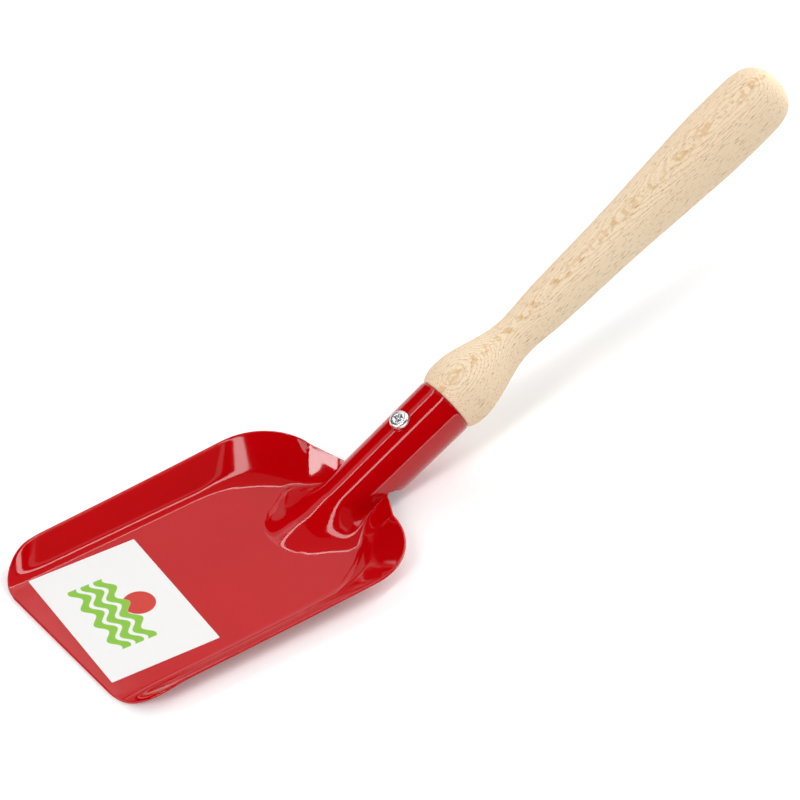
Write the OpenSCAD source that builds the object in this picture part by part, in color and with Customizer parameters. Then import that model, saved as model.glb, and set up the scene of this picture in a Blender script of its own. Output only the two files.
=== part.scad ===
// Child's sand shovel: a pressed steel blade rolled into a socket, with a turned wooden handle.
// +X runs from the blade towards the handle, +Z is up, and the origin is the middle of the
// underside of the blade's flat floor, on which the shovel lies.

/* [Floor] */
// Length of the flat floor, from the front edge to the foot of the rear wall
floor_l = 107; // [96:1:125]
// Width of the flat floor, between the feet of the side walls
floor_w = 66; // [60:1:76]
// Radius of the flat floor's rear corners
floor_corner_r = 25; // [15:1:28]
// Thickness of the pressed sheet, measured upright
sheet_t = 1; // [0.8:0.1:1.4]

/* [Walls] */
// How far a side wall leans out at the front
front_lean = 12; // [9:0.5:15]
// How far a side wall leans out where the rear corner begins
corner_lean = 13; // [10:0.5:16]
// How far the rear wall leans back where the rear corner ends
rear_lean = 10.5; // [8:0.5:14]
// Height of the rim over the floor at the front edge
front_rim_h = 1.2; // [0.6:0.1:2]
// Height of the rim over the floor along the sides
side_rim_h = 6.6; // [5:0.1:8]
// Height of the rim over the floor where the rear corner begins
corner_rim_h = 8.8; // [8:0.1:11]
// Height of the rim over the floor where the rear corner ends
rear_rim_h = 11.2; // [9:0.1:13]
// Drop of the rear rim, from the corners to the middle
rear_rim_drop = 6; // [4:0.5:7]
// Distance by which the rear rim sweeps back, from the corners to the middle
rear_rim_sweep = 14.5; // [10:0.5:18]
// Length over which the rim climbs behind the front edge
front_climb_l = 24; // [15:1:35]
// Radius of the rim's rear corners, seen from above
rim_corner_r = 21; // [15:1:25]
// Radius of the blade's front corners, seen from above
front_corner_r = 16; // [10:0.5:18]

/* [Socket] */
// Outer diameter of the socket at its mouth
socket_d = 22; // [19:0.5:25]
// Outer diameter of the neck where the socket's axis crosses the floor
neck_d = 20.8; // [18:0.1:24]
// Length of the closed socket, behind the open neck
socket_l = 29.3; // [24:0.5:40]
// Angle by which the socket rises from the floor, in degrees
socket_rise = 27; // [20:1:35]
// Distance behind the floor at which the socket's axis crosses the floor's upper side
socket_setback = 6.4; // [3:0.2:9]
// How far the sides of the open neck reach below the socket's axis
neck_drop = 1.5; // [0.5:0.1:3]
// Width of the seam along the underside of the socket
seam_w = 0.8; // [0.4:0.1:1.5]

/* [Handle] */
// Length of the handle outside the socket
handle_l = 164; // [140:1:190]
// Diameter of the collar next to the socket
collar_d = 25.6; // [24:0.5:30]
// Distance from the socket's mouth to the widest part of the collar
collar_at = 7.3; // [5:0.1:10]
// Diameter of the waist behind the collar
waist_d = 15; // [12:0.5:18]
// Distance from the socket's mouth to the waist
waist_at = 34; // [28:1:42]
// Largest diameter of the grip
grip_d = 25.2; // [22:0.2:30]
// Distance from the largest part of the grip to the handle's end
grip_end_l = 27.5; // [20:0.5:35]
// Length of the tenon inside the socket
tenon_l = 27; // [21:0.5:29]
// Gap between the tenon and the bore of the socket, on the radius
tenon_gap = 0.1; // [0.05:0.05:0.3]
// Bevel at the tip of the tenon
tenon_bevel = 1; // [0.5:0.1:2]

/* [Screw] */
// Diameter of the screw's head
screw_head_d = 7; // [6:0.1:8]
// Height of the screw's head
screw_head_h = 2.2; // [1.6:0.1:2.8]
// Radius of the rounded shoulder of the head
screw_shoulder_r = 1.4; // [0.8:0.1:1.5]
// Diameter of the screw's shank
screw_d = 3.5; // [3:0.1:4]
// Length of the screw below its head
screw_l = 16; // [12:0.5:18]
// Length of the screw's pointed tip
screw_tip_l = 4; // [3:0.5:5]
// Distance from the socket's mouth to the screw
screw_at = 16.5; // [12:0.5:19]
// Gap between the screw and its hole, on the radius, and under its head
screw_gap = 0.1; // [0.05:0.05:0.2]
// Span of the cross recess in the head
recess_d = 4.2; // [3.4:0.1:4.6]
// Width of one slot of the cross recess
recess_w = 1.1; // [0.8:0.1:1.3]
// Depth of the cross recess
recess_depth = 1.5; // [1:0.1:1.5]

/* [Label] */
// Width of the sticker, from front to back
label_w = 40; // [30:1:48]
// Bare floor left between the left edge and the sticker's nearest corner
label_left_room = 0.4; // [0:0.1:8]
// Bare floor left between the right edge and the sticker's nearest corner
label_right_room = 4.3; // [0:0.1:8]
// Bare floor left between the front edge and the sticker's nearest corner
label_front_room = 3.2; // [2:0.2:10]
// Turn of the sticker on the floor, in degrees
label_turn = -5; // [-6:0.5:6]
// Thickness of the sticker
label_t = 0.15; // [0.1:0.05:0.3]

/* [Hidden] */
$fn = 64;

// Overrun of every cut past the surface that it leaves
overrun = 1;
// Stations along one half of the wall: the side, the rear corner and the rear
side_steps = 12;
corner_steps = 10;
rear_steps = 6;
// Shares of the wall's width at which its section bends, from the foot to the rim
bend_share = 0.4;
section_shares = [0, 0.1, 0.2, 0.3, bend_share, 1];
// How sharply the side rim climbs towards the rear corner
side_climb_power = 2;
// Swell of the grip: share of the way from waist to grip, and share of the growth
grip_swell_shares = [[0.16, 0.22], [0.49, 0.45], [0.76, 0.77]];
// Steps of the turned outline: collar foot, collar to waist, each grip stretch, and the end
turn_steps = 8;
// How blunt the handle's end is: 2 is an ellipse, and more is flatter
end_power = 7;

front_x = -floor_l / 2;
rear_x = floor_l / 2;
side_y = floor_w / 2;
rim_y = side_y + corner_lean;
rim_rear_x = rear_x + rear_lean;
rim_corner_x = rim_rear_x - rim_corner_r;
floor_corner_x = rear_x - floor_corner_r;
// Half width of the rim where a rounded front corner ends
front_corner_y = side_y + front_lean
    + (corner_lean - front_lean) * front_corner_r / (rim_corner_x - front_x);
axis_x = rear_x + socket_setback;
// Places along the socket's axis, from where it crosses the floor's upper side
lip_at = socket_d / 2 / tan(socket_rise);
mouth_at = lip_at + socket_l;
screw_place = mouth_at - screw_at;
tenon_tip = mouth_at - tenon_l;
neck_start = -(socket_d + sheet_t) / tan(socket_rise);
grip_at = handle_l - grip_end_l;
// A block taller and longer than the neck, for cutting
block = mouth_at - neck_start + socket_d;
// The sticker fills the width that its rooms leave
label_span = floor_w - label_left_room - label_right_room;
label_l = (label_span - label_w * abs(sin(label_turn))) / cos(label_turn);
label_half_x = (label_w * cos(label_turn) + label_l * abs(sin(label_turn))) / 2;
label_x = front_x + label_front_room + label_half_x;
label_y = (label_right_room - label_left_room) / 2;

function ease(t) = t * t * (3 - 2 * t);
function mix(a, b, t) = a + (b - a) * t;

// Outer, bore and tenon radius of the tapered socket, at a place along its axis
function outer_r(s) = mix(neck_d, socket_d, s / mouth_at) / 2;
function bore_r(s) = outer_r(s) - sheet_t;
function tenon_r(s) = bore_r(s) - tenon_gap;

// Rise of the wall's section over its width: a bend, then a straight slope, from 0 to 1
function section_rise(t) =
    let (steepness = 1 / (1 - bend_share / 2))
    t < bend_share ? steepness * t * t / (2 * bend_share) : steepness * (t - bend_share / 2);

// Height of the side rim over the floor, at a distance behind the front edge
function side_rim(d) =
    mix(front_rim_h, side_rim_h, ease(min(1, d / front_climb_l)))
    + (corner_rim_h - side_rim_h) * pow(d / (rim_corner_x - front_x), side_climb_power);

// One station of the wall: its foot on the floor's edge, its rim, and the rim's height
function side_station(t) =
    let (rim_x = mix(front_x, rim_corner_x, t))
    [[mix(front_x, floor_corner_x, t), side_y],
     [rim_x, side_y + mix(front_lean, corner_lean, t)],
     side_rim(rim_x - front_x)];
function corner_station(t) =
    let (a = 90 * (1 - t), way = [cos(a), sin(a)])
    [[floor_corner_x, side_y - floor_corner_r] + floor_corner_r * way,
     [rim_corner_x, rim_y - rim_corner_r] + rim_corner_r * way,
     mix(corner_rim_h, rear_rim_h, t)];
function rear_station(t) =
    [[rear_x, (side_y - floor_corner_r) * (1 - t)],
     [rim_rear_x + rear_rim_sweep * t, (rim_y - rim_corner_r) * (1 - t)],
     rear_rim_h - rear_rim_drop * t];

wall_stations = [
    for (i = [0 : side_steps - 1]) side_station(i / side_steps),
    for (i = [0 : corner_steps - 1]) corner_station(i / corner_steps),
    for (i = [0 : rear_steps]) rear_station(i / rear_steps)
];
floor_edge = [for (s = wall_stations) s[0]];

// Points of the wall's section at one station, on its upper or its lower side
function section_points(s, z) = [
    for (t = section_shares)
    let (p = mix(s[0], s[1], t))
    [p.x, p.y, z + s[2] * section_rise(t)]
];

// Two triangles over the four corners a, b, c, d
function quad(a, b, c, d) = [[a, b, c], [a, c, d]];

// One half of the wall, as a sheet that stands on the left edge of the floor
module half_wall() {
    columns = len(section_shares);
    ring = 2 * columns;
    last = (len(wall_stations) - 1) * ring;
    points = [
        for (s = wall_stations)
        each concat(section_points(s, sheet_t), section_points(s, 0))
    ];
    faces = [
        for (i = [0 : len(wall_stations) - 2])
        let (a = i * ring, b = a + ring)
        each concat(
            [for (j = [0 : columns - 2]) each quad(a + j, a + j + 1, b + j + 1, b + j)],
            [for (j = [columns : ring - 2]) each quad(a + j, b + j, b + j + 1, a + j + 1)],
            quad(a, b, b + columns, a + columns),
            quad(a + columns - 1, a + ring - 1, b + ring - 1, b + columns - 1)
        ),
        for (j = [0 : columns - 2])
        each concat(
            quad(j, j + columns, j + columns + 1, j + 1),
            quad(last + j, last + j + 1, last + j + columns + 1, last + j + columns)
        )
    ];
    polyhedron(points, faces);
}

module floor_plate() {
    mirrored = [for (i = [len(floor_edge) - 2 : -1 : 0]) [floor_edge[i].x, -floor_edge[i].y]];
    linear_extrude(sheet_t)
        polygon(concat(floor_edge, mirrored));
}

// What is taken off the left front corner of the blade to round it
module front_corner_cut() {
    translate([front_x, front_corner_y, -overrun])
        linear_extrude(rear_rim_h + sheet_t + 2 * overrun)
            difference() {
                translate([-overrun, -front_corner_r])
                    square(front_corner_r + overrun);
                translate([front_corner_r, -front_corner_r])
                    circle(front_corner_r);
            }
}

// Puts children on the socket's axis: +Z runs up the axis, and -X is the socket's upper side
module on_socket_axis() {
    translate([axis_x, 0, sheet_t])
        rotate([0, 90 - socket_rise, 0])
            children();
}

// Puts children on the upper side of the socket at the screw, with +Z pointing out of it
module at_screw() {
    on_socket_axis()
        translate([-outer_r(screw_place), 0, screw_place])
            rotate([0, -90, 0])
                children();
}

module neck_and_socket() {
    difference() {
        intersection() {
            on_socket_axis()
                translate([0, 0, neck_start])
                    cylinder(r1 = outer_r(neck_start), r2 = outer_r(mouth_at), h = mouth_at - neck_start);
            translate([axis_x - block, -block / 2, 0])
                cube([2 * block, block, block]);
        }
        on_socket_axis()
            translate([neck_drop, -block / 2, lip_at - block])
                cube(block);
    }
}

module blade() {
    mouth_end = mouth_at + overrun;
    color("crimson")
        difference() {
            union() {
                floor_plate();
                for (side = [0, 1])
                    mirror([0, side, 0])
                        half_wall();
                neck_and_socket();
            }
            on_socket_axis()
                translate([0, 0, neck_start])
                    cylinder(r1 = bore_r(neck_start), r2 = bore_r(mouth_end), h = mouth_end - neck_start);
            on_socket_axis()
                translate([0, -seam_w / 2, lip_at - overrun])
                    cube([socket_d, seam_w, socket_l + 2 * overrun]);
            at_screw()
                translate([0, 0, -socket_d / 2])
                    cylinder(d = screw_d + 2 * screw_gap, h = socket_d);
            for (side = [0, 1])
                mirror([0, side, 0])
                    front_corner_cut();
        }
}

// Diameters along the grip, and their slopes, which are level at the waist and at the widest part
grip_line = [
    [waist_at, waist_d],
    for (s = grip_swell_shares) [mix(waist_at, grip_at, s[0]), mix(waist_d, grip_d, s[1])],
    [grip_at, grip_d]
];
function grip_slope(i) =
    i == 0 || i == len(grip_line) - 1 ? 0 :
    let (a = grip_line[i - 1], b = grip_line[i + 1])
    (b[1] - a[1]) / (b[0] - a[0]);
function grip_diameter(i, t) =
    let (a = grip_line[i], b = grip_line[i + 1], run = b[0] - a[0], u = 1 - t)
    mix(a[1], b[1], ease(t)) + run * t * u * (u * grip_slope(i) - t * grip_slope(i + 1));

// Turned outline of the handle outside the socket, as diameter and distance from the mouth
turned_line = [
    for (i = [0 : turn_steps - 1])
        let (a = 90 * i / turn_steps)
        [mix(socket_d, collar_d, sin(a)), collar_at * (1 - cos(a))],
    for (i = [0 : turn_steps - 1])
        let (t = i / turn_steps)
        [mix(collar_d, waist_d, ease(t)), mix(collar_at, waist_at, t)],
    for (k = [0 : len(grip_line) - 2])
        for (i = [0 : turn_steps - 1])
            let (t = i / turn_steps)
            [grip_diameter(k, t), mix(grip_line[k][0], grip_line[k + 1][0], t)],
    for (i = [0 : turn_steps])
        let (t = sin(90 * i / turn_steps))
        [grip_d * sqrt(1 - pow(t, end_power)), grip_at + grip_end_l * t]
];

module handle() {
    color("burlywood")
        difference() {
            on_socket_axis()
                translate([0, 0, mouth_at])
                    rotate_extrude()
                        polygon(concat(
                            [[0, -tenon_l], [tenon_r(tenon_tip) - tenon_bevel, -tenon_l],
                             [tenon_r(tenon_tip), tenon_bevel - tenon_l], [tenon_r(mouth_at), 0]],
                            [for (p = turned_line) [p[0] / 2, p[1]]]
                        ));
            at_screw()
                translate([0, 0, -screw_l - overrun])
                    cylinder(d = screw_d + 2 * screw_gap, h = screw_l + 2 * overrun);
        }
}

module cross_recess() {
    for (turn = [0, 90])
        rotate(turn)
            translate([-recess_d / 2, -recess_w / 2, screw_head_h - recess_depth])
                cube([recess_d, recess_w, recess_depth + overrun]);
}

module screw() {
    shoulder = [
        for (i = [0 : turn_steps])
        let (a = 90 * i / turn_steps)
        [screw_head_d / 2 - screw_shoulder_r * (1 - cos(a)),
         screw_head_h - screw_shoulder_r * (1 - sin(a))]
    ];
    color("silver")
        at_screw()
            translate([0, 0, screw_gap])
                difference() {
                    rotate_extrude()
                        polygon(concat(
                            [[0, -screw_l], [screw_d / 2, screw_tip_l - screw_l],
                             [screw_d / 2, 0], [screw_head_d / 2, 0]],
                            shoulder,
                            [[0, screw_head_h]]
                        ));
                    cross_recess();
                }
}

module label() {
    color("white")
        translate([label_x, label_y, sheet_t])
            rotate(label_turn)
                translate([-label_w / 2, -label_l / 2, 0])
                    cube([label_w, label_l, label_t]);
}

blade();
handle();
screw();
label();
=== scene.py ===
"""Looks of a child's sand shovel: enamelled steel blade, turned beech handle, screw and sticker."""
import logging
import math
from dataclasses import dataclass, field
from enum import Enum

import bpy
import numpy as np
from mathutils import Matrix, Vector


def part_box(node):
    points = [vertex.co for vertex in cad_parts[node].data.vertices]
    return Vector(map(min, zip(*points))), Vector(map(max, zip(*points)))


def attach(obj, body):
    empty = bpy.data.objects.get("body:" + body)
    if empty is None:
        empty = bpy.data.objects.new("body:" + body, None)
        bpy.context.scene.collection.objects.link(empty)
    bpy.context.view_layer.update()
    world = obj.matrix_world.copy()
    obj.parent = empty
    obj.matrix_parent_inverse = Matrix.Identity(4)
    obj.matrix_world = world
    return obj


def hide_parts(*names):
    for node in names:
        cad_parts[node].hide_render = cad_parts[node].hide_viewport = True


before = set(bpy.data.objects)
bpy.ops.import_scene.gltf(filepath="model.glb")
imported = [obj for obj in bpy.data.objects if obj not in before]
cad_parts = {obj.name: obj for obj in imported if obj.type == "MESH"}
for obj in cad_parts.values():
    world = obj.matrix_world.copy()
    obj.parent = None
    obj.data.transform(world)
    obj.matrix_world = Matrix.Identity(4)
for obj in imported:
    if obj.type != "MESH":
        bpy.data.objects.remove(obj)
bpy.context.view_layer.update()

LOG = logging.getLogger("shovel")
BODY = "root"
MM = 0.001
RIGHT_ANGLE = math.pi / 2

# The strip lights and the sticker lie a little askew to the shovel
STRIP_TURN = math.radians(17.0)
LABEL_TURN = math.radians(-5.0)

# The screw stands this far before the socket's mouth, with its head just clear of the enamel
SCREW_SETBACK = 0.0165
SCREW_LIFT = 0.0001

# Sockets of a mix node that mixes colours
MIX_SHARE = 0
MIX_FROM = 6
MIX_TO = 7
MIXED = 2

# One value for each point of a grid, or only one
Grid = np.ndarray
Number = float | Grid

# Distances along an axis, and radii
Line = list[tuple[float, float]]

# What feeds a node's input: a socket, or a value of its own
Socket = bpy.types.NodeSocket
Feed = Socket | float | tuple[float, ...]


class Node(Enum):
    """The CAD nodes that the pieces stand for."""

    BLADE = "blade"
    HANDLE = "handle"
    SCREW = "screw"
    LABEL = "label"


class Slot(Enum):
    """The record's material slots."""

    ENAMEL = "enamelled_steel"
    BEECH = "beech"
    ZINC = "zinc_steel"
    FILM = "label_paper"


# Small helpers


def mix(a: Number, b: Number, t: Number) -> Number:
    """Goes from a to b by the share t."""
    return a + (b - a) * t


def ease(t: Number) -> Number:
    """Share t from 0 to 1 with a level start and end."""
    t = np.clip(t, 0.0, 1.0)
    return t * t * (3.0 - 2.0 * t)


def linear_colour(code: str) -> tuple[float, float, float, float]:
    """Turns an sRGB hex colour into linear values.

    Args:
        code: Colour such as "#C30008".

    Returns:
        Linear red, green and blue, with an alpha of 1.
    """
    values = [int(code[i:i + 2], 16) / 255.0 for i in (1, 3, 5)]
    linear = [v / 12.92 if v <= 0.04045 else ((v + 0.055) / 1.055) ** 2.4 for v in values]
    return (linear[0], linear[1], linear[2], 1.0)


@dataclass
class NodeBench:
    """A node tree under construction, with the nodes that repeat as methods.

    An input takes a value of its own, or the socket that feeds it.
    """

    tree: bpy.types.NodeTree

    def add(self, kind: str, inputs: dict[str | int, Feed] | None = None,
            **attributes: str | bool) -> bpy.types.Node:
        """Adds a node.

        Args:
            kind: Blender's name of the shader node type, without its common first part.
            inputs: Input sockets, by name or number, and what feeds them.
            attributes: Settings of the node that are not sockets.

        Returns:
            The new node.
        """
        node = self.tree.nodes.new("ShaderNode" + kind)
        for name, value in attributes.items():
            setattr(node, name, value)
        for key, feed in (inputs or {}).items():
            if isinstance(feed, Socket):
                self.tree.links.new(feed, node.inputs[key])
            else:
                node.inputs[key].default_value = feed
        return node

    def place(self) -> Socket:
        """Gives each point's place in the shovel's frame."""
        return self.add("TexCoord").outputs["Object"]

    def place_in(self, frame_of: Matrix) -> Socket:
        """Gives each point's place in another frame, such as a piece's own."""
        inverse = frame_of.inverted()
        turned = {"Location": inverse.to_translation(), "Rotation": inverse.to_euler()}
        return self.add("Mapping", {"Vector": self.place(), **turned}).outputs[0]

    def maths(self, operation: str, *feeds: Feed) -> Socket:
        """Gives the result of one operation on numbers, by Blender's name for it."""
        return self.add("Math", dict(enumerate(feeds)), operation=operation).outputs[0]

    def vectors(self, operation: str, *feeds: Feed) -> Socket:
        """Gives the vector that one operation on vectors results in."""
        return self.add("VectorMath", dict(enumerate(feeds)), operation=operation).outputs["Vector"]

    def measure(self, operation: str, *feeds: Feed) -> Socket:
        """Gives the number that one operation on vectors results in."""
        return self.add("VectorMath", dict(enumerate(feeds)), operation=operation).outputs["Value"]

    def noise(self, place: Socket, size_mm: float, detail: float, roughness: float = 0.5) -> Socket:
        """Adds a noise.

        Args:
            place: Where it is read.
            size_mm: Size of its spots.
            detail: How many finer layers lie over them.
            roughness: How strong those layers are.

        Returns:
            Socket with values from 0 to 1.
        """
        spots = {"Scale": 1.0 / (size_mm * MM), "Detail": detail, "Roughness": roughness}
        return self.add("TexNoise", {"Vector": place, **spots}).outputs["Fac"]

    def ramp(self, value: Socket, start: tuple[float, float], end: tuple[float, float],
             smooth: bool = False) -> Socket:
        """Goes from one result to another, and stays level before and after.

        Args:
            value: What is looked up.
            start: Value where the ramp begins, and the result there.
            end: Value where it ends, and the result there.
            smooth: Whether it has a level start and end.

        Returns:
            Socket with the result.
        """
        ends = {"From Min": start[0], "To Min": start[1], "From Max": end[0], "To Max": end[1]}
        kind = "SMOOTHSTEP" if smooth else "LINEAR"
        return self.add("MapRange", {"Value": value, **ends}, interpolation_type=kind).outputs["Result"]

    def tint(self, share: Socket, base: Socket | str, over: str) -> Socket:
        """Lays one colour over another.

        Args:
            share: How much of the upper colour shows.
            base: The lower colour, as a socket or an sRGB hex code.
            over: The upper colour, as an sRGB hex code.

        Returns:
            Socket with the colour.
        """
        lower = linear_colour(base) if isinstance(base, str) else base
        colours = {MIX_SHARE: share, MIX_FROM: lower, MIX_TO: linear_colour(over)}
        return self.add("Mix", colours, data_type="RGBA").outputs[MIXED]

    def relief(self, height: Socket, depth_mm: float, strength: float, sunk: bool = False) -> Socket:
        """Turns a pattern into fine relief.

        Args:
            height: The pattern.
            depth_mm: Its height from the lowest to the highest place.
            strength: How much of it shows.
            sunk: Whether the pattern lies in the surface, not on it.

        Returns:
            Socket with the surface's normal.
        """
        size = {"Distance": depth_mm * MM, "Strength": strength}
        return self.add("Bump", {"Height": height, **size}, invert=sunk).outputs["Normal"]

    def surface(self, colour: Feed, gloss: Socket, relief: Socket, **rest: float) -> None:
        """Ends the tree in a surface.

        Args:
            colour: Its colour.
            gloss: Its roughness.
            relief: Its normal.
            rest: Other inputs of the shader.
        """
        shader = self.add(
            "BsdfPrincipled", {"Base Color": colour, "Roughness": gloss, "Normal": relief, **rest})
        self.add("OutputMaterial", {"Surface": shader.outputs["BSDF"]})


def new_material(name: str) -> tuple[bpy.types.Material, NodeBench]:
    """Makes a material with an empty node tree.

    Args:
        name: Name of the material.

    Returns:
        The material, and a bench for its nodes.
    """
    material = bpy.data.materials.new(name)
    material.use_nodes = True
    material.node_tree.nodes.clear()
    return material, NodeBench(material.node_tree)


def start_clean() -> None:
    """Leaves edit mode and deselects everything."""
    if bpy.context.object and bpy.context.object.mode != "OBJECT":
        bpy.ops.object.mode_set(mode="OBJECT")
    bpy.ops.object.select_all(action="DESELECT")


def finish_modifiers(piece: bpy.types.Object) -> None:
    """Applies every modifier of a piece, in order."""
    for name in [m.name for m in piece.modifiers]:
        bpy.ops.object.modifier_apply(modifier=name)


def deselect_mesh() -> None:
    """Deselects every vertex, edge and face of the active piece."""
    bpy.ops.object.mode_set(mode="EDIT")
    bpy.ops.mesh.select_all(action="DESELECT")
    bpy.ops.object.mode_set(mode="OBJECT")


def draw_out(height: float) -> None:
    """Extrudes what is selected along +Z."""
    bpy.ops.mesh.extrude_region_move(TRANSFORM_OT_translate={"value": (0, 0, height)})


def set_down(piece: bpy.types.Object, place: Matrix, crease_angle: float) -> None:
    """Smooths a finished piece between its creases and moves it to its place.

    Args:
        piece: The piece, which is the active one.
        place: The frame that it was modelled in.
        crease_angle: Angle between faces from which an edge stays sharp.
    """
    bpy.ops.object.shade_smooth_by_angle(angle=crease_angle)
    piece.matrix_world = place
    bpy.ops.object.transform_apply(location=True, rotation=True, scale=True)


def seat(piece: bpy.types.Object, material: bpy.types.Material, node: Node) -> None:
    """Gives a piece its finish and its place in the frame.

    Args:
        piece: The finished piece.
        material: Its finish.
        node: The CAD node that it stands for.
    """
    piece.data.materials.append(material)
    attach(piece, BODY)
    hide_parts(node.value)


def socket_frame(rise: float, axis_x: float, sheet: float) -> Matrix:
    """Frame of the socket's axis: +Z runs up the axis and -X is the socket's upper side.

    Args:
        rise: Angle of the axis over the floor.
        axis_x: Where the axis crosses the floor's upper side.
        sheet: Height of the floor's upper side.

    Returns:
        The matrix from that frame to the shovel's.
    """
    return Matrix.Translation((axis_x, 0.0, sheet)) @ Matrix.Rotation(RIGHT_ANGLE - rise, 4, "Y")


# Finishes


@dataclass(frozen=True)
class BakedEnamel:
    """Glossy red baked enamel on pressed steel.

    A glassy layer over saturated pigment: deep red where it mirrors the dark, pink where it
    mirrors white, with crisp light lines along the bends and a faint orange peel.
    """

    red: str = "#C80007"
    worn_red: str = "#BC0006"
    roughness: float = 0.065
    smoothest: float = 0.8
    roughest: float = 1.3
    index: float = 1.5
    cloud_mm: float = 30.0
    speck_mm: float = 0.5
    speck_from: float = 0.3
    speck_to: float = 0.8
    peel_mm: float = 5.0
    peel_depth_mm: float = 0.012

    def build(self) -> bpy.types.Material:
        """Builds the material.

        Returns:
            The material.
        """
        material, bench = new_material("red_baked_enamel")
        place = bench.place()
        cloud = bench.noise(place, self.cloud_mm, detail=3.0)
        colour = bench.tint(cloud, self.worn_red, self.red)
        speck = bench.noise(place, self.speck_mm, detail=2.0)
        gloss = bench.ramp(speck, (self.speck_from, self.roughness * self.smoothest),
                           (self.speck_to, self.roughness * self.roughest))
        peel = bench.noise(place, self.peel_mm, detail=1.0)
        relief = bench.relief(peel, self.peel_depth_mm, strength=1.0)
        bench.surface(colour, gloss, relief, IOR=self.index)
        return material


@dataclass(frozen=True)
class SandedBeech:
    """Turned and sanded beech, left dry.

    Pale straw wood in thin flat growth layers. Where the turned side runs along a layer they show
    as rings and islands, and elsewhere as fine lines, with short brown pores along the grain and
    golden flecks along the crest of the flat side.
    """

    pale: str = "#FFEDCF"
    rosy: str = "#FDE1BE"
    late: str = "#EBC391"
    fleck: str = "#E2B470"
    pore: str = "#B47C42"
    roughness: float = 0.62
    smoother: float = 0.06
    rougher: float = 0.1
    index: float = 1.45
    # Growth layers
    grain_stretch: float = 0.35
    tone_mm: float = 22.0
    layer_mm: float = 0.5
    late_from: float = 0.55
    late_to: float = 0.95
    late_share: float = 0.6
    wave_mm: float = 13.0
    wave_depth: float = 1.3
    # Pores
    pore_mm: float = 0.24
    pore_length_mm: float = 3.2
    pore_depth_mm: float = 0.06
    pore_from: float = 0.6
    pore_to: float = 0.72
    pore_share: float = 0.75
    # Flecks
    fleck_mm: float = 2.6
    fleck_from: float = 0.5
    fleck_to: float = 0.62
    crest_mm: float = 2.6
    crest_core: float = 0.3
    crest_share: float = 0.55
    flat_side: float = math.radians(-15.0)

    def build(self, place: Matrix) -> bpy.types.Material:
        """Builds the material.

        Args:
            place: The handle's frame, with +Z along the grain.

        Returns:
            The material.
        """
        material, bench = new_material("turned_sanded_beech")
        grain = bench.place_in(place)
        flecked = self._flecks(bench, grain, self._rings(bench, grain))
        pore_shape = (1.0, 1.0, self.pore_mm / self.pore_length_mm)
        pores = bench.noise(bench.vectors("MULTIPLY", grain, pore_shape), self.pore_mm, detail=1.0)
        pore_line = bench.ramp(pores, (self.pore_from, 0.0), (self.pore_to, self.pore_share), smooth=True)
        colour = bench.tint(pore_line, flecked, self.pore)
        gloss = bench.ramp(
            pores, (0.0, self.roughness - self.smoother), (1.0, self.roughness + self.rougher))
        relief = bench.relief(pore_line, self.pore_depth_mm, strength=0.5, sunk=True)
        bench.surface(colour, gloss, relief, IOR=self.index)
        return material

    def _rings(self, bench: NodeBench, grain: Socket) -> Socket:
        """Colours the pale wood and its darker late wood, layer by layer.

        Args:
            bench: The material's nodes.
            grain: Place in the handle's frame.

        Returns:
            Socket with the colour.
        """
        long_grain = bench.vectors("MULTIPLY", grain, (1.0, 1.0, self.grain_stretch))
        wave = bench.noise(long_grain, self.wave_mm * self.grain_stretch, detail=3.0, roughness=0.55)
        across = (-math.cos(self.flat_side), math.sin(self.flat_side), 0.0)
        depth = bench.measure("DOT_PRODUCT", grain, across)
        layers = bench.maths("MULTIPLY", depth, 1.0 / (self.layer_mm * MM))
        waved = bench.maths("MULTIPLY_ADD", wave, 2.0 * self.wave_depth, layers)
        saw = bench.maths("FRACT", waved)
        late_wood = bench.ramp(saw, (self.late_from, 0.0), (self.late_to, self.late_share), smooth=True)
        tone = bench.noise(long_grain, self.tone_mm, detail=2.0)
        return bench.tint(late_wood, bench.tint(tone, self.pale, self.rosy), self.late)

    def _flecks(self, bench: NodeBench, grain: Socket, ringed: Socket) -> Socket:
        """Adds the golden flecks along the crest of the flat side.

        Args:
            bench: The material's nodes.
            grain: Place in the handle's frame.
            ringed: Colour of the wood below.

        Returns:
            Socket with the colour.
        """
        beside = (math.sin(self.flat_side), math.cos(self.flat_side), 0.0)
        off_crest = bench.maths("ABSOLUTE", bench.measure("DOT_PRODUCT", grain, beside))
        crest = bench.ramp(off_crest, (self.crest_core * self.crest_mm * MM, self.crest_share),
                           (self.crest_mm * MM, 0.0), smooth=True)
        spots = bench.noise(grain, self.fleck_mm, detail=2.0)
        fleck = bench.ramp(spots, (self.fleck_from, 0.0), (self.fleck_to, 1.0), smooth=True)
        return bench.tint(bench.maths("MULTIPLY", fleck, crest), ringed, self.fleck)


@dataclass(frozen=True)
class ZincPlate:
    """Bright zinc plate on a steel screw: pale silver, softly mirroring, with a fine plating haze."""

    silver: str = "#F4F5F5"
    roughness: float = 0.28
    smoothest: float = 0.6
    roughest: float = 1.5
    haze_mm: float = 0.6
    haze_depth_mm: float = 0.01

    def build(self) -> bpy.types.Material:
        """Builds the material.

        Returns:
            The material.
        """
        material, bench = new_material("bright_zinc_plate")
        haze = bench.noise(bench.place(), self.haze_mm, detail=3.0)
        gloss = bench.ramp(
            haze, (0.0, self.roughness * self.smoothest), (1.0, self.roughness * self.roughest))
        relief = bench.relief(haze, self.haze_depth_mm, strength=0.3)
        bench.surface(linear_colour(self.silver), gloss, relief, Metallic=1.0)
        return material


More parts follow.
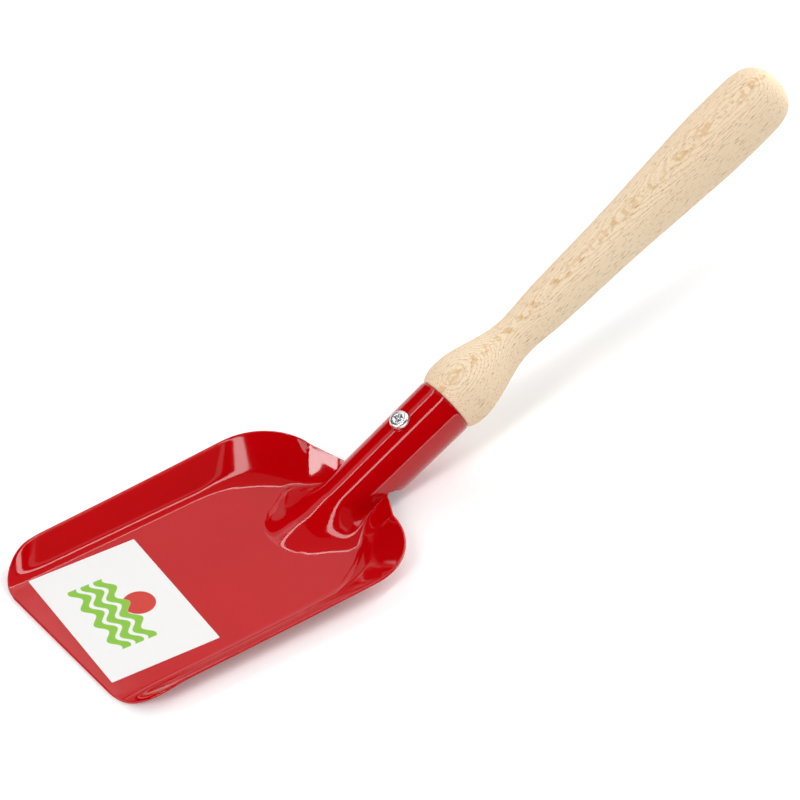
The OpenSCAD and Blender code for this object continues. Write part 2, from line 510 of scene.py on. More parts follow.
@dataclass(frozen=True)
class PrintedFilm:
    """White sticker film with a printed sun over waves: flat, matt and clean-edged."""

    white: str = "#F4F4F2"
    sun: str = "#D23A2E"
    wave: str = "#8CC63E"
    roughness: float = 0.45
    smoother: float = 0.05
    rougher: float = 0.1
    index: float = 1.46
    sun_mm: float = 5.6
    sun_up_mm: float = 6.0
    wave_pitch_mm: float = 9.0
    wave_height_mm: float = 1.5
    band_mm: float = 1.6
    bands_up_mm: tuple[float, float, float] = (0.6, -4.2, -9.0)
    half_span_mm: float = 17.0
    soft_mm: float = 0.12
    fibre_mm: float = 0.4
    fibre_depth_mm: float = 0.01

    def build(self, place: Matrix) -> bpy.types.Material:
        """Builds the material.

        Args:
            place: The sticker's frame, with +X the top of the print and +Y its left.

        Returns:
            The material.
        """
        material, bench = new_material("printed_white_film")
        in_mm = bench.vectors("MULTIPLY", bench.place_in(place), (1.0 / MM,) * 3)
        split = bench.add("SeparateXYZ", {0: in_mm}).outputs
        colour = self._print(bench, split["X"], split["Y"])
        fibre = bench.noise(bench.place(), self.fibre_mm, detail=3.0)
        gloss = bench.ramp(
            fibre, (0.0, self.roughness - self.smoother), (1.0, self.roughness + self.rougher))
        relief = bench.relief(fibre, self.fibre_depth_mm, strength=0.2)
        bench.surface(colour, gloss, relief, IOR=self.index)
        return material

    def _print(self, bench: NodeBench, up: Socket, left: Socket) -> Socket:
        """Prints the sun, and the waves over its lower part.

        Args:
            bench: The material's nodes.
            up: Height on the print, in millimetres from its middle.
            left: Distance to the left of its middle, in millimetres.

        Returns:
            Socket with the colour.
        """
        height = bench.maths("SUBTRACT", up, self.sun_up_mm)
        from_sun = bench.add("CombineXYZ", {0: height, 1: left}).outputs[0]
        disc = self._edge(bench, bench.measure("LENGTH", from_sun), self.sun_mm)
        turn = bench.maths("MULTIPLY", left, 2.0 * math.pi / self.wave_pitch_mm)
        crest = bench.maths("MULTIPLY", bench.maths("SINE", turn), self.wave_height_mm)
        level = bench.maths("SUBTRACT", up, crest)
        span = self._edge(bench, bench.maths("ABSOLUTE", left), self.half_span_mm)
        sea = self._edge(bench, level, self.bands_up_mm[0] + self.band_mm)
        risen = bench.maths("MULTIPLY", disc, bench.maths("SUBTRACT", 1.0, sea))
        colour = bench.tint(risen, self.white, self.sun)
        for band_up in self.bands_up_mm:
            distance = bench.maths("ABSOLUTE", bench.maths("SUBTRACT", level, band_up))
            band = bench.maths("MULTIPLY", self._edge(bench, distance, self.band_mm), span)
            colour = bench.tint(band, colour, self.wave)
        return colour

    def _edge(self, bench: NodeBench, value: Socket, limit: float) -> Socket:
        """Gives 1 below a limit in millimetres and 0 above it, with a soft printed edge."""
        return bench.ramp(value, (limit - self.soft_mm, 1.0), (limit + self.soft_mm, 0.0))


# Pieces


@dataclass
class SteelBlade:
    """One sheet of steel: a flat floor with leaning walls, pressed up into a neck and rolled into a socket.

    Distances along the blade are measured from its front edge, heights from the floor's upper side.
    """

    # Floor, walls and rim
    floor_length: float = 0.107
    floor_half_width: float = 0.0327
    floor_corner: float = 0.038
    floor_rear: float = 0.1137
    sheet: float = 0.001
    front_lean: float = 0.0110
    corner_lean: float = 0.0128
    rear_lean: float = 0.0033
    front_rim: float = 0.0012
    side_rim: float = 0.0072
    corner_rim: float = 0.0088
    rear_rim: float = 0.0112
    rear_drop: float = 0.0075
    rear_sweep: float = 0.0145
    front_climb: float = 0.022
    rim_corner: float = 0.021
    front_corner: float = 0.016
    # Neck and socket
    neck_radius: float = 0.0104
    mouth_radius: float = 0.0110
    rise: float = math.radians(27.0)
    setback: float = 0.0064
    socket_length: float = 0.0293
    seam_half_width: float = 0.0004
    # Where the sheet bends and opens
    bend_share: float = 0.35
    toe_at: float = 0.084
    notch_share: float = 0.55
    notch_at: float = 0.0146
    crown_angle: float = math.radians(80.0)
    flank_angle: float = math.radians(84.0)
    flank_run: float = 0.0015
    open_angle: float = math.radians(95.0)
    lip_start: float = 0.0168
    lip_run: float = 0.0052
    # Blends round the neck's foot
    toe_start: float = 0.0845
    toe_spread: float = 0.004
    toe_fillet: float = 0.0027
    flank_fillet: float = 0.0044
    root_fillet: float = 0.003
    root_at: float = 0.095
    root_run: float = 0.010
    notch_fillet: float = 0.0008
    fade_at: float = 0.105
    fade_run: float = 0.018
    gully_fillet: float = 0.0014
    kink_low: float = 0.015
    # Grid and search
    pan_rows: int = 42
    neck_rows: int = 40
    socket_rows: int = 24
    crown_columns: int = 16
    side_columns: int = 22
    floor_columns: int = 9
    floor_column_share: float = 0.6
    pan_crowding: float = 1.25
    socket_crowding: float = 1.3
    bow_run: float = 0.6
    widest_share: float = 1.4
    highest: float = 0.045
    row_slack: float = 1e-6
    bisections: int = 40

    def __post_init__(self) -> None:
        """Works out the places that follow from the sizes."""
        self.front_x = -self.floor_length / 2
        self.axis_at = self.floor_length + self.setback
        self.lip_at = self.mouth_radius / math.tan(self.rise)
        self.mouth_at = self.lip_at + self.socket_length
        self.rim_half_width = self.floor_half_width + self.corner_lean
        self.rim_corner_at = self.floor_rear + self.rear_lean - self.rim_corner
        self.rows = self.pan_rows + self.neck_rows + self.socket_rows
        self.columns = self.crown_columns + 2 * self.side_columns

    def build(self) -> bpy.types.Object:
        """Presses a flat grid into the blade and gives it the sheet's thickness.

        Returns:
            The blade.
        """
        start_clean()
        bpy.ops.mesh.primitive_grid_add(x_subdivisions=self.rows, y_subdivisions=self.columns, size=1.0)
        piece = bpy.context.object
        piece.name = "enamelled_blade"
        mesh = piece.data
        flat = np.empty(len(mesh.vertices) * 3)
        mesh.vertices.foreach_get("co", flat)
        flat = flat.reshape(-1, 3)
        mesh.vertices.foreach_set("co", self._press(flat[:, 0] + 0.5, 2.0 * flat[:, 1]).ravel())
        mesh.update()
        wall = piece.modifiers.new("sheet", "SOLIDIFY")
        wall.thickness = self.sheet
        wall.offset = -1.0
        wall.use_quality_normals = True
        smooth = piece.modifiers.new("smooth", "SUBSURF")
        smooth.levels = smooth.render_levels = 1
        finish_modifiers(piece)
        bpy.ops.object.shade_smooth()
        return piece

    def _press(self, along: Grid, across: Grid) -> Grid:
        """Places grid points on the upper side of the pressed sheet.

        Args:
            along: Share of the way from the front edge to the socket's mouth, by rows.
            across: Share of the way from the middle to the left edge, negative to the right.

        Returns:
            Points in the shovel's frame.
        """
        row = along * self.rows
        column = np.abs(across) * self.columns / 2
        side = np.sign(across)
        crown = self.crown_columns / 2
        turn = self.crown_angle * np.minimum(column / crown, 1.0)
        outward = np.clip((column - crown) / self.side_columns, 0.0, 1.0)
        share = np.interp(outward, [0.0, self.floor_columns / self.side_columns, 1.0],
                          [0.0, self.floor_column_share, 1.0])
        sheet_x, sheet_y, sheet_z = self._pan_and_neck(row, turn, share)
        tube_x, tube_y, tube_z = self._socket(row, turn, outward)
        rolled = row > self.pan_rows + self.neck_rows + self.row_slack
        x = np.where(rolled, tube_x, sheet_x) + self.front_x
        y = np.where(rolled, tube_y, sheet_y) * side
        z = np.where(rolled, tube_z, sheet_z) + self.sheet
        return np.stack([x, y, z], axis=1)

    def _pan_and_neck(self, row: Grid, turn: Grid, share: Grid) -> tuple[Grid, Grid, Grid]:
        """Points of the floor, the walls and the neck, on the left half.

        Args:
            row: Row of each point.
            turn: Angle of each point round the neck's crown.
            share: Share of the way from the crown's side to the rim.

        Returns:
            Distances along the blade, half widths and heights.
        """
        pan = np.clip(row / self.pan_rows, 0.0, 1.0)
        neck = np.clip((row - self.pan_rows) / self.neck_rows, 0.0, 1.0)
        notch_top = self.axis_at + self.notch_at * math.cos(self.rise) \
            - self.tube_radius(self.notch_at) * math.sin(self.rise)
        top = np.where(neck > 0, mix(self.toe_at, notch_top, neck), self.toe_at * pan ** self.pan_crowding)
        radius = self.tube_radius(self.notch_at * np.ones_like(row))
        bow = ease(neck / self.bow_run) * radius * math.sin(self.rise)
        crown_x = top + bow * (1.0 - np.cos(turn))
        crown_y = radius * np.sin(turn)
        rim_x, rim_y = self._rim_point(top, neck)
        x = mix(crown_x, rim_x, share)
        y = mix(crown_y, rim_y, share)
        narrow = (share == 0) & (crown_y > rim_y)
        y = np.where(narrow, rim_y, y)
        return x, y, self._height(x, y)

    def _socket(self, row: Grid, turn: Grid, outward: Grid) -> tuple[Grid, Grid, Grid]:
        """Points of the rolled socket behind the neck, on the left half.

        Args:
            row: Row of each point.
            turn: Angle of each point round the crown.
            outward: Share of the way from the crown's side to the sheet's edge.

        Returns:
            Distances along the blade, half widths and heights.
        """
        way = np.clip((row - self.pan_rows - self.neck_rows) / self.socket_rows, 0.0, 1.0)
        place = mix(self.notch_at, self.mouth_at, way ** self.socket_crowding)
        seam = math.pi - self.seam_half_width / self.mouth_radius
        flank = mix(self.flank_angle, self.open_angle, ease((place - self.notch_at) / self.flank_run))
        edge = mix(flank, seam, ease((place - self.lip_start) / self.lip_run))
        angle = np.where(outward > 0, mix(self.crown_angle, edge, outward), turn)
        radius = self.tube_radius(place)
        up = radius * np.cos(angle)
        x = self.axis_at + place * math.cos(self.rise) - up * math.sin(self.rise)
        z = place * math.sin(self.rise) + up * math.cos(self.rise)
        return x, radius * np.sin(angle), z

    def tube_radius(self, place: Number) -> Number:
        """Outer radius of the tapered tube, at a place along its axis."""
        return mix(self.neck_radius, self.mouth_radius, place / self.mouth_at)

    def _rim_point(self, top: Grid, neck: Grid) -> tuple[Grid, Grid]:
        """Where a row ends on the rim.

        Args:
            top: Where the row crosses the middle, along the blade.
            neck: Share of the neck's rows before this one.

        Returns:
            Distances along the blade, and half widths.
        """
        inset = np.clip(self.front_corner - top, 0.0, self.front_corner)
        corner_y = self._side_y(self.front_corner) - self.front_corner
        corner_y = corner_y + np.sqrt(self.front_corner ** 2 - inset ** 2)
        front_y = np.where(top < self.front_corner, corner_y, self._side_y(top))
        rear_y = self.rim_half_width - self.rim_corner
        lengths = np.array([
            self.rim_corner_at - self.toe_at,
            self.rim_corner * RIGHT_ANGLE,
            self.notch_share * math.hypot(self.rear_sweep, rear_y),
        ])
        ends = np.cumsum(lengths)
        run = neck * ends[-1]
        angle = RIGHT_ANGLE - (run - ends[0]) / self.rim_corner
        back = np.clip((run - ends[1]) / lengths[2], 0.0, 1.0) * self.notch_share
        stretches = [neck <= 0, run <= ends[0], run <= ends[1]]
        x = np.select(
            stretches, [top, self.toe_at + run, self.rim_corner_at + self.rim_corner * np.cos(angle)],
            self.rim_corner_at + self.rim_corner + self.rear_sweep * back)
        y = np.select(
            stretches, [front_y, self._side_y(x), rear_y + self.rim_corner * np.sin(angle)],
            rear_y * (1.0 - back))
        return x, y

    def _side_y(self, x: Number) -> Number:
        """Half width of the rim along the blade's straight sides."""
        return self.floor_half_width + mix(self.front_lean, self.corner_lean, x / self.rim_corner_at)

    def _past_kink(self, y: Grid, share: Grid) -> Grid:
        """How far points lie past the kink where the rear wall sweeps back to the neck, from 0 to 1."""
        kink = mix(self.kink_low, self.rim_half_width - self.rim_corner, share)
        return np.maximum(1.0 - y / kink, 0.0)

    def _outline_gap(self, x: Grid, y: Grid, share: Grid) -> tuple[Grid, Grid, Grid]:
        """How far points stand outside the outline at a share of the wall's width.

        Args:
            x: Distances along the blade.
            y: Half widths.
            share: Share of the way from the wall's foot to its rim.

        Returns:
            The gaps, and the centre of the outline's rear corner.
        """
        corner_x = mix(self.floor_rear - self.floor_corner, self.rim_corner_at, share)
        corner_y = mix(
            self.floor_half_width - self.floor_corner, self.rim_half_width - self.rim_corner, share)
        x = x - share * self.rear_sweep * self._past_kink(y, share)
        side = y - self.floor_half_width - share * mix(self.front_lean, self.corner_lean, x / corner_x)
        corner = np.hypot(x - corner_x, y - corner_y) - mix(self.floor_corner, self.rim_corner, share)
        rear = x - self.floor_rear - share * self.rear_lean
        gap = np.where(x < corner_x, side, np.where(y > corner_y, corner, rear))
        return gap, corner_x, corner_y

    def _wall_height(self, x: Grid, y: Grid) -> Grid:
        """Height of the floor and walls alone.

        Args:
            x: Distances along the blade.
            y: Half widths.

        Returns:
            Heights over the floor's upper side.
        """
        low = np.zeros_like(x)
        high = np.full_like(x, self.widest_share)
        for _ in range(self.bisections):
            middle = (low + high) / 2
            outside = self._outline_gap(x, y, middle)[0] > 0
            low = np.where(outside, middle, low)
            high = np.where(outside, high, middle)
        on_floor = self._outline_gap(x, y, np.zeros_like(x))[0] <= 0
        share = np.where(on_floor, 0.0, low)
        _, corner_x, corner_y = self._outline_gap(x, y, share)
        past = self._past_kink(y, share)
        x = x - share * self.rear_sweep * past
        behind = x / corner_x * self.rim_corner_at
        to_climb = 1.0 - np.clip(behind / self.front_climb, 0.0, 1.0)
        side = mix(self.side_rim, self.front_rim, to_climb ** 2)
        side = side + (self.corner_rim - self.side_rim) * (behind / self.rim_corner_at) ** 2
        turned = 1.0 - np.arctan2(y - corner_y, x - corner_x) / RIGHT_ANGLE
        corner = mix(self.corner_rim, self.rear_rim, turned)
        rim = np.where(x < corner_x, side, np.where(y > corner_y, corner, self.rear_rim))
        rim = rim - self.rear_drop * past
        steepness = 1.0 / (1.0 - self.bend_share / 2)
        bend = steepness * share ** 2 / (2 * self.bend_share)
        slope = steepness * (share - self.bend_share / 2)
        return rim * np.where(share < self.bend_share, bend, slope)

    def _height(self, x: Grid, y: Grid) -> Grid:
        """Height of the sheet with the neck blended into the floor and walls.

        Args:
            x: Distances along the blade.
            y: Half widths.

        Returns:
            Heights over the floor's upper side.
        """
        spread = 1.0 - np.exp(-np.maximum(x - self.toe_start, 0.0) / self.toe_spread)
        fillet = self.toe_fillet + self.flank_fillet * spread \
            + self.root_fillet * ease((x - self.root_at) / self.root_run)
        fillet = mix(fillet, self.notch_fillet, ease((x - self.fade_at) / self.fade_run))
        away = x - self.axis_at
        under_tube = y < self.neck_radius
        low = np.where(under_tube, np.maximum(away * math.tan(self.rise), 0.0), 0.0)
        high = np.full_like(x, self.highest)
        for _ in range(self.bisections):
            z = (low + high) / 2
            place = away * math.cos(self.rise) + z * math.sin(self.rise)
            up = z * math.cos(self.rise) - away * math.sin(self.rise)
            tube_gap = np.hypot(y, up) - self.tube_radius(place)
            inside = np.maximum(fillet, np.minimum(tube_gap, z)) < np.hypot(
                np.maximum(fillet - tube_gap, 0.0), np.maximum(fillet - z, 0.0))
            low = np.where(inside, z, low)
            high = np.where(inside, high, z)
        wall = self._wall_height(x, y)
        room = np.clip(1.0 - np.abs(low - wall) / self.gully_fillet, 0.0, 1.0)
        low = np.maximum(low, wall) + self.gully_fillet / 4 * room ** 2 * (np.minimum(low, wall) > 0)
        return low


@dataclass
class BeechHandle:
    """Turned handle: a tenon in the socket, a round collar, a waist and a swelling grip with a blunt end."""

    length: float = 0.164
    mouth_diameter: float = 0.0202
    collar_diameter: float = 0.0256
    collar_at: float = 0.0073
    waist_diameter: float = 0.015
    waist_at: float = 0.034
    grip_diameter: float = 0.0252
    grip_end: float = 0.0275
    tenon_length: float = 0.027
    tenon_tip_radius: float = 0.00954
    tenon_radius: float = 0.0099
    tenon_bevel: float = 0.001
    end_power: float = 7.0
    swell_shares: tuple[tuple[float, float], ...] = ((0.16, 0.22), (0.49, 0.45), (0.76, 0.77))
    steps: int = 9
    sides: int = 40
    crease_angle: float = math.radians(50.0)
    place: Matrix = field(default_factory=Matrix)

    def __post_init__(self) -> None:
        """Works out where the grip begins to round off."""
        self.grip_at = self.length - self.grip_end

    def build(self) -> bpy.types.Object:
        """Turns the handle: a disc is drawn out along the axis and sized at each station.

        Returns:
            The handle.
        """
        start_clean()
        at, radius = -self.tenon_length, self.tenon_tip_radius - self.tenon_bevel
        bpy.ops.mesh.primitive_circle_add(
            vertices=self.sides, radius=radius, fill_type="NGON", location=(0, 0, at))
        piece = bpy.context.object
        piece.name = "beech_handle"
        bpy.ops.object.transform_apply(location=True)
        bpy.ops.object.mode_set(mode="EDIT")
        bpy.ops.mesh.select_all(action="SELECT")
        for next_at, next_radius in self._tenon() + self._collar() + self._swell() + self._end():
            draw_out(next_at - at)
            scale = next_radius / radius
            bpy.ops.transform.resize(value=(scale, scale, 1.0), center_override=(0, 0, next_at))
            at, radius = next_at, next_radius
        draw_out(self.length - at)
        bpy.ops.mesh.merge(type="CENTER")
        bpy.ops.mesh.select_all(action="SELECT")
        bpy.ops.mesh.normals_make_consistent(inside=False)
        bpy.ops.object.mode_set(mode="OBJECT")
        smooth = piece.modifiers.new("smooth", "SUBSURF")
        smooth.levels = smooth.render_levels = 1
        finish_modifiers(piece)
        set_down(piece, self.place, self.crease_angle)
        return piece

    def _tenon(self) -> Line:
        """Draws the tenon and the step at the socket's mouth.

        Returns:
            Distances from the mouth, and radii.
        """
        return [
            (self.tenon_bevel - self.tenon_length, self.tenon_tip_radius),
            (-self.tenon_length / 2, (self.tenon_tip_radius + self.tenon_radius) / 2),
            (-self.tenon_bevel, self.tenon_radius),
            (0.0, self.tenon_radius),
            (0.0, self.mouth_diameter / 2),
        ]

    def _collar(self) -> Line:
        """Draws the round collar, and the slope from it to the waist.

        Returns:
            Distances from the mouth, and radii.
        """
        line = []
        for i in range(1, self.steps):
            turn = RIGHT_ANGLE * i / self.steps
            line.append((self.collar_at * (1.0 - math.cos(turn)),
                         mix(self.mouth_diameter, self.collar_diameter, math.sin(turn)) / 2))
        for i in range(self.steps):
            t = i / self.steps
            line.append((mix(self.collar_at, self.waist_at, t),
                         mix(self.collar_diameter, self.waist_diameter, float(ease(t))) / 2))
        return line

    def _swell(self) -> Line:
        """Draws the grip as a smooth curve from the waist through a few knots.

        Returns:
            Distances from the mouth, and radii.
        """
        knots = [(self.waist_at, self.waist_diameter)]
        for way, growth in self.swell_shares:
            knots.append((mix(self.waist_at, self.grip_at, way),
                          mix(self.waist_diameter, self.grip_diameter, growth)))
        knots.append((self.grip_at, self.grip_diameter))
        slopes = [0.0]
        for before, after in zip(knots, knots[2:]):
            slopes.append((after[1] - before[1]) / (after[0] - before[0]))
        slopes.append(0.0)
        line = []
        for k in range(len(knots) - 1):
            run = knots[k + 1][0] - knots[k][0]
            for i in range(self.steps):
                t = i / self.steps
                swell = run * t * (1.0 - t) * ((1.0 - t) * slopes[k] - t * slopes[k + 1])
                line.append((mix(knots[k][0], knots[k + 1][0], t),
                             (mix(knots[k][1], knots[k + 1][1], float(ease(t))) + swell) / 2))
        return line

    def _end(self) -> Line:
        """Draws the blunt end, which closes in its middle.

        Returns:
            Distances from the mouth, and radii.
        """
        line = []
        for i in range(self.steps):
            t = math.sin(RIGHT_ANGLE * i / self.steps)
            line.append((self.grip_at + self.grip_end * t,
                         self.grip_diameter / 2 * math.sqrt(1.0 - t ** self.end_power)))
        return line


@dataclass
class PanHeadScrew:
    """Pan-head screw with a cross recess, pinning the handle in the socket."""

    head_radius: float = 0.0035
    head_height: float = 0.0022
    shoulder: float = 0.0014
    shoulder_segments: int = 6
    sides: int = 48
    shank_radius: float = 0.00175
    length: float = 0.016
    tip_length: float = 0.004
    recess_span: float = 0.0042
    recess_width: float = 0.0011
    recess_depth: float = 0.002
    recess_taper: float = 0.75
    recess_turn: float = math.radians(20.0)
    worn_edge: float = 0.00006
    worn_segments: int = 2
    worn_angle: float = math.radians(50.0)
    crease_angle: float = math.radians(35.0)
    nearly_all: float = 0.9
    place: Matrix = field(default_factory=Matrix)
    piece: bpy.types.Object | None = field(default=None)

    def build(self) -> bpy.types.Object:
        """Models the screw upright, with the underside of its head at height 0, and sets it in the socket.

        Returns:
            The screw.
        """
        start_clean()
        bpy.ops.mesh.primitive_cylinder_add(
            vertices=self.sides, radius=self.head_radius, depth=self.head_height,
            location=(0, 0, self.head_height / 2))
        self.piece = bpy.context.object
        self.piece.name = "pan_head_screw"
        bpy.ops.object.transform_apply(location=True)
        self._round_head()
        self._draw_shank()
        for turn in (self.recess_turn, self.recess_turn + RIGHT_ANGLE):
            self._cut_slot(turn)
        self._wear_edges()
        set_down(self.piece, self.place, self.crease_angle)
        return self.piece

    def _round_head(self) -> None:
        """Bevels the head's upper edge into a round shoulder."""
        deselect_mesh()
        mesh = self.piece.data
        for edge in mesh.edges:
            heights = [mesh.vertices[i].co.z for i in edge.vertices]
            edge.select = min(heights) > self.head_height * self.nearly_all
        bpy.ops.object.mode_set(mode="EDIT")
        bpy.ops.mesh.bevel(offset=self.shoulder, segments=self.shoulder_segments, affect="EDGES")

    def _draw_shank(self) -> None:
        """Draws the shank and its pointed tip out of the head's underside."""
        deselect_mesh()
        for face in self.piece.data.polygons:
            face.select = face.normal.z < -self.nearly_all
        bpy.ops.object.mode_set(mode="EDIT")
        bpy.ops.mesh.inset(thickness=self.head_radius - self.shank_radius)
        draw_out(self.tip_length - self.length)
        draw_out(-self.tip_length)
        bpy.ops.mesh.merge(type="CENTER")
        bpy.ops.object.mode_set(mode="OBJECT")

    def _cut_slot(self, turn: float) -> None:
        """Cuts one tapered slot of the recess into the head.

        Args:
            turn: Angle of the slot on the head.
        """
        start_clean()
        bpy.ops.mesh.primitive_cube_add(size=1.0)
        block = bpy.context.object
        bpy.ops.object.mode_set(mode="EDIT")
        bpy.ops.mesh.select_all(action="SELECT")
        bpy.ops.transform.resize(value=(self.recess_span, self.recess_width, 2.0 * self.recess_depth))
        bpy.ops.object.mode_set(mode="OBJECT")
        for vertex in block.data.vertices:
            if vertex.co.z < 0:
                vertex.co.x *= self.recess_taper
                vertex.co.y *= self.recess_taper
        block.location.z = self.head_height
        block.rotation_euler.z = turn
        bpy.ops.object.transform_apply(location=True, rotation=True)
        start_clean()
        self.piece.select_set(True)
        bpy.context.view_layer.objects.active = self.piece
        cut = self.piece.modifiers.new("recess", "BOOLEAN")
        cut.operation = "DIFFERENCE"
        cut.object = block
        cut.solver = "EXACT"
        finish_modifiers(self.piece)
        bpy.data.objects.remove(block)

    def _wear_edges(self) -> None:
        """Softens the sharp edges a little."""
        soft = self.piece.modifiers.new("worn_edges", "BEVEL")
        soft.width = self.worn_edge
        soft.segments = self.worn_segments
        soft.limit_method = "ANGLE"
        soft.angle_limit = self.worn_angle
        finish_modifiers(self.piece)


@dataclass
class FilmLabel:
    """Rectangular sticker on the blade's floor, slightly askew."""

    width: float = 0.040
    length: float = 0.058033
    thickness: float = 0.00015
    corner: float = 0.0004
    corner_segments: int = 3
    crease_angle: float = math.radians(40.0)
    place: Matrix = field(default_factory=Matrix)

    def build(self) -> bpy.types.Object:
        """Cuts the sticker from a plane, rounds its corners and gives it its thickness.

        Returns:
            The sticker.
        """
        start_clean()
        bpy.ops.mesh.primitive_plane_add(size=1.0)
        piece = bpy.context.object
        piece.name = "printed_label"
        bpy.ops.object.mode_set(mode="EDIT")
        bpy.ops.mesh.select_all(action="SELECT")
        bpy.ops.transform.resize(value=(self.width, self.length, 1.0))
        bpy.ops.mesh.bevel(offset=self.corner, segments=self.corner_segments, affect="VERTICES")
        bpy.ops.mesh.select_all(action="SELECT")
        draw_out(self.thickness)
        bpy.ops.mesh.select_all(action="SELECT")
        bpy.ops.mesh.normals_make_consistent(inside=False)
        bpy.ops.object.mode_set(mode="OBJECT")
        set_down(piece, self.place, self.crease_angle)
        return piece


# Studio


@dataclass(frozen=True)
class Softbox:
    """One soft light of the studio, aimed at the shovel.

    It hangs at a distance in the direction given. A strip is turned to run along a level line.
    """

    name: str
    towards: tuple[float, float, float]
    distance: float
    width: float
    height: float
    radiance: float
    along: float | None = None

    def build(self, target: Vector) -> None:
        """Hangs the light.

        Args:
            target: What the light is aimed at.
        """
        out = Vector(self.towards).normalized()
        start_clean()
        bpy.ops.object.light_add(type="AREA", location=target + out * self.distance)
        lamp = bpy.context.object
        lamp.name = self.name
        lamp.rotation_euler = out.to_track_quat("Z", "Y").to_euler()
        if self.along is not None:
            side = Vector((math.cos(self.along), math.sin(self.along), 0.0))
            back = (out - out.dot(side) * side).normalized()
            lamp.rotation_euler = Matrix((side, back.cross(side), back)).transposed().to_euler()
        lamp.data.shape = "RECTANGLE"
        lamp.data.size = self.width
        lamp.data.size_y = self.height
        lamp.data.energy = math.pi * self.width * self.height * self.radiance


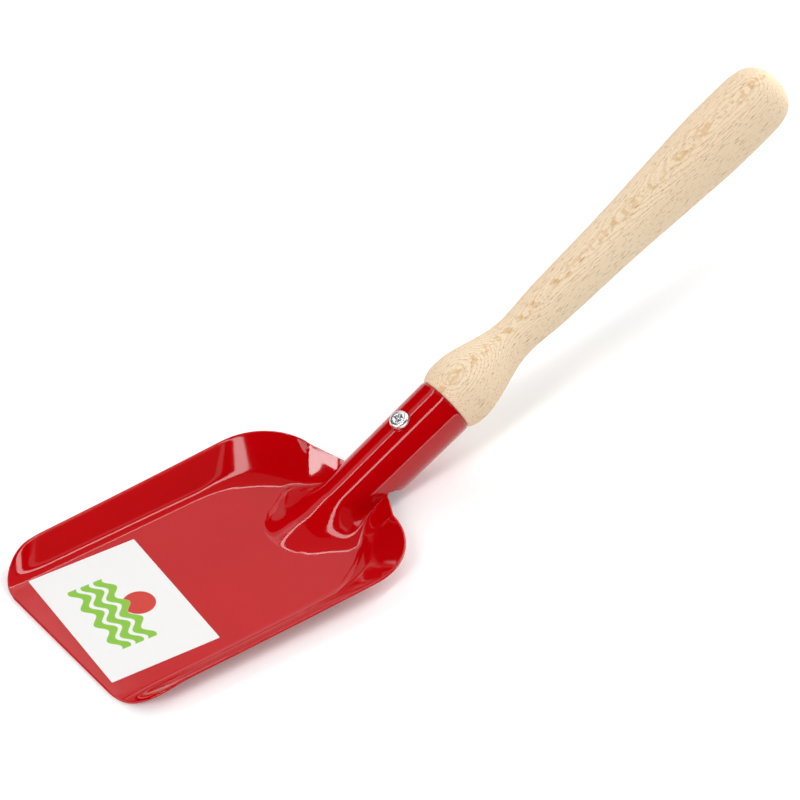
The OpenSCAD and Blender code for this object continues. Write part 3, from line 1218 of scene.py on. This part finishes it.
@dataclass
class Studio:
    """White table, soft lights and the camera."""

    target: Vector = field(default_factory=lambda: Vector((0.03, 0.0, 0.02)))
    # Each with its name, direction, distance, width, height, radiance and turn
    softboxes: tuple[Softbox, ...] = (
        Softbox("near_strip", (0.25, -0.152, 1.0), 1.3, 2.0, 0.145, 6.0, STRIP_TURN),
        Softbox("left_strip", (-1.31, -0.556, 1.0), 2.2, 1.9, 0.36, 12.0, STRIP_TURN),
        Softbox("far_strip", (0.04, 0.61, 1.0), 1.45, 1.9, 0.08, 6.2, STRIP_TURN),
        Softbox("ceiling", (0.33, 0.29, 1.0), 1.5, 1.25, 0.85, 0.2, STRIP_TURN),
        Softbox("back_top", (0.19, 0.9, 1.0), 1.8, 1.9, 0.38, 0.75, STRIP_TURN),
        Softbox("back_glow", (0.22, 0.83, 1.0), 1.6, 0.7, 0.2, 0.7, STRIP_TURN),
        Softbox("back_right", (0.70, 0.70, 0.33), 1.7, 1.4, 1.0, 0.8),
        Softbox("back_mid", (0.276, 0.904, 0.326), 1.7, 0.36, 0.42, 0.4),
        Softbox("low_back", (0.1, 0.99, 0.055), 1.9, 2.2, 0.22, 0.9),
        Softbox("left_panel", (-0.97, 0.1, 0.15), 1.5, 1.4, 0.5, 2.6),
        Softbox("right_panel", (0.92, -0.1, 0.4), 1.5, 1.2, 1.0, 2.5),
        Softbox("handle_key", (0.83, 0.083, 0.55), 1.4, 0.8, 0.6, 3.7),
        Softbox("low_front", (0.2, -0.97, 0.05), 1.6, 2.4, 0.12, 3.0),
        Softbox("front_fill", (0.36, -0.52, 0.78), 1.5, 1.0, 0.8, 0.12),
        Softbox("front_glow", (0.33, -0.335, 0.87), 1.45, 0.45, 0.12, 0.6, STRIP_TURN),
    )
    floor_size: float = 20.0
    table_white: float = 0.9
    table_glow: float = 0.2
    ceiling: str = "#18181E"
    camera_place: Vector = field(default_factory=lambda: Vector((-0.46392, -0.71841, 0.75629)))
    camera_right: Vector = field(default_factory=lambda: Vector((0.7943, -0.6075, 0.0)))
    camera_up: Vector = field(default_factory=lambda: Vector((0.3786, 0.4950, 0.7821)))
    focal_pixels: float = 3413.75
    image_pixels: float = 800.0
    sensor: float = 36.0
    nearest: float = 0.01
    farthest: float = 100.0

    def build(self) -> None:
        """Builds the floor, the lights, the world and the camera."""
        self._floor()
        for softbox in self.softboxes:
            softbox.build(self.target)
        self._world()
        self._camera()
        bpy.context.scene.view_settings.view_transform = "Standard"

    def _seen(self, bench: NodeBench) -> Socket:
        """Tells what the camera sees, also in a mirror or through glass, from the rest.

        Args:
            bench: The material's nodes.

        Returns:
            Socket with 1 for what is seen, and 0 for the rest.
        """
        path = bench.add("LightPath").outputs
        mirrored = bench.maths("MAXIMUM", path["Is Camera Ray"], path["Is Glossy Ray"])
        return bench.maths("MAXIMUM", mirrored, path["Is Transmission Ray"])

    def _floor(self) -> None:
        """Lays the white table, which keeps the shovel's shadow."""
        start_clean()
        bpy.ops.mesh.primitive_plane_add(size=self.floor_size)
        floor = bpy.context.object
        floor.name = "table"
        material, bench = new_material("white_table")
        matt = bench.add("BsdfDiffuse", {"Color": (self.table_white,) * 3 + (1.0,)})
        glow = bench.maths("MULTIPLY", self._seen(bench), self.table_glow)
        light = bench.add("Emission", {"Strength": glow})
        both = bench.add("AddShader", {0: matt.outputs[0], 1: light.outputs[0]})
        bench.add("OutputMaterial", {"Surface": both.outputs[0]})
        floor.data.materials.append(material)

    def _world(self) -> None:
        """Sets a dim room that the camera sees as white."""
        world = bpy.data.worlds.new("studio")
        bpy.context.scene.world = world
        world.use_nodes = True
        world.node_tree.nodes.clear()
        bench = NodeBench(world.node_tree)
        path = bench.add("LightPath").outputs
        room = bench.add("Background", {"Color": linear_colour(self.ceiling)})
        white = bench.add("Background", {"Color": (1.0, 1.0, 1.0, 1.0)})
        shown = bench.add("MixShader", {0: path["Is Camera Ray"], 1: room.outputs[0], 2: white.outputs[0]})
        bench.add("OutputWorld", {"Surface": shown.outputs[0]})

    def _camera(self) -> None:
        """Stands the camera at the photograph's angle."""
        start_clean()
        bpy.ops.object.camera_add()
        camera = bpy.context.object
        camera.name = "photo_camera"
        back = self.camera_right.cross(self.camera_up)
        turn = Matrix((self.camera_right, self.camera_up, back)).transposed()
        camera.matrix_world = Matrix.Translation(self.camera_place) @ turn.to_4x4()
        camera.data.sensor_width = self.sensor
        camera.data.lens = self.focal_pixels / self.image_pixels * self.sensor
        camera.data.clip_start = self.nearest
        camera.data.clip_end = self.farthest
        bpy.context.scene.camera = camera


def main() -> None:
    """Builds the shovel piece by piece, and then the studio."""
    logging.basicConfig(level=logging.INFO, format="%(name)s: %(message)s")
    blade = SteelBlade()
    axis = socket_frame(blade.rise, blade.front_x + blade.axis_at, blade.sheet)
    screw_at = blade.mouth_at - SCREW_SETBACK
    screw_seat = blade.tube_radius(screw_at) + SCREW_LIFT
    screw_place = axis @ Matrix.Translation((-screw_seat, 0.0, screw_at))
    screw_place = screw_place @ Matrix.Rotation(-RIGHT_ANGLE, 4, "Y")
    handle = BeechHandle(place=axis @ Matrix.Translation((0.0, 0.0, blade.mouth_at)))
    screw = PanHeadScrew(place=screw_place)
    label_low, label_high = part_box(Node.LABEL.value)
    label_middle = (label_low + label_high) / 2
    label_place = Matrix.Translation((label_middle.x, label_middle.y, blade.sheet))
    label = FilmLabel(place=label_place @ Matrix.Rotation(LABEL_TURN, 4, "Z"))
    dressing = (
        (blade, BakedEnamel().build(), Node.BLADE, Slot.ENAMEL),
        (handle, SandedBeech().build(handle.place), Node.HANDLE, Slot.BEECH),
        (screw, ZincPlate().build(), Node.SCREW, Slot.ZINC),
        (label, PrintedFilm().build(label.place), Node.LABEL, Slot.FILM),
    )
    for part, material, node, slot in dressing:
        piece = part.build()
        seat(piece, material, node)
        LOG.info("%s: %d faces", piece.name, len(piece.data.polygons))
    Studio().build()


if __name__ == "__main__":
    main()
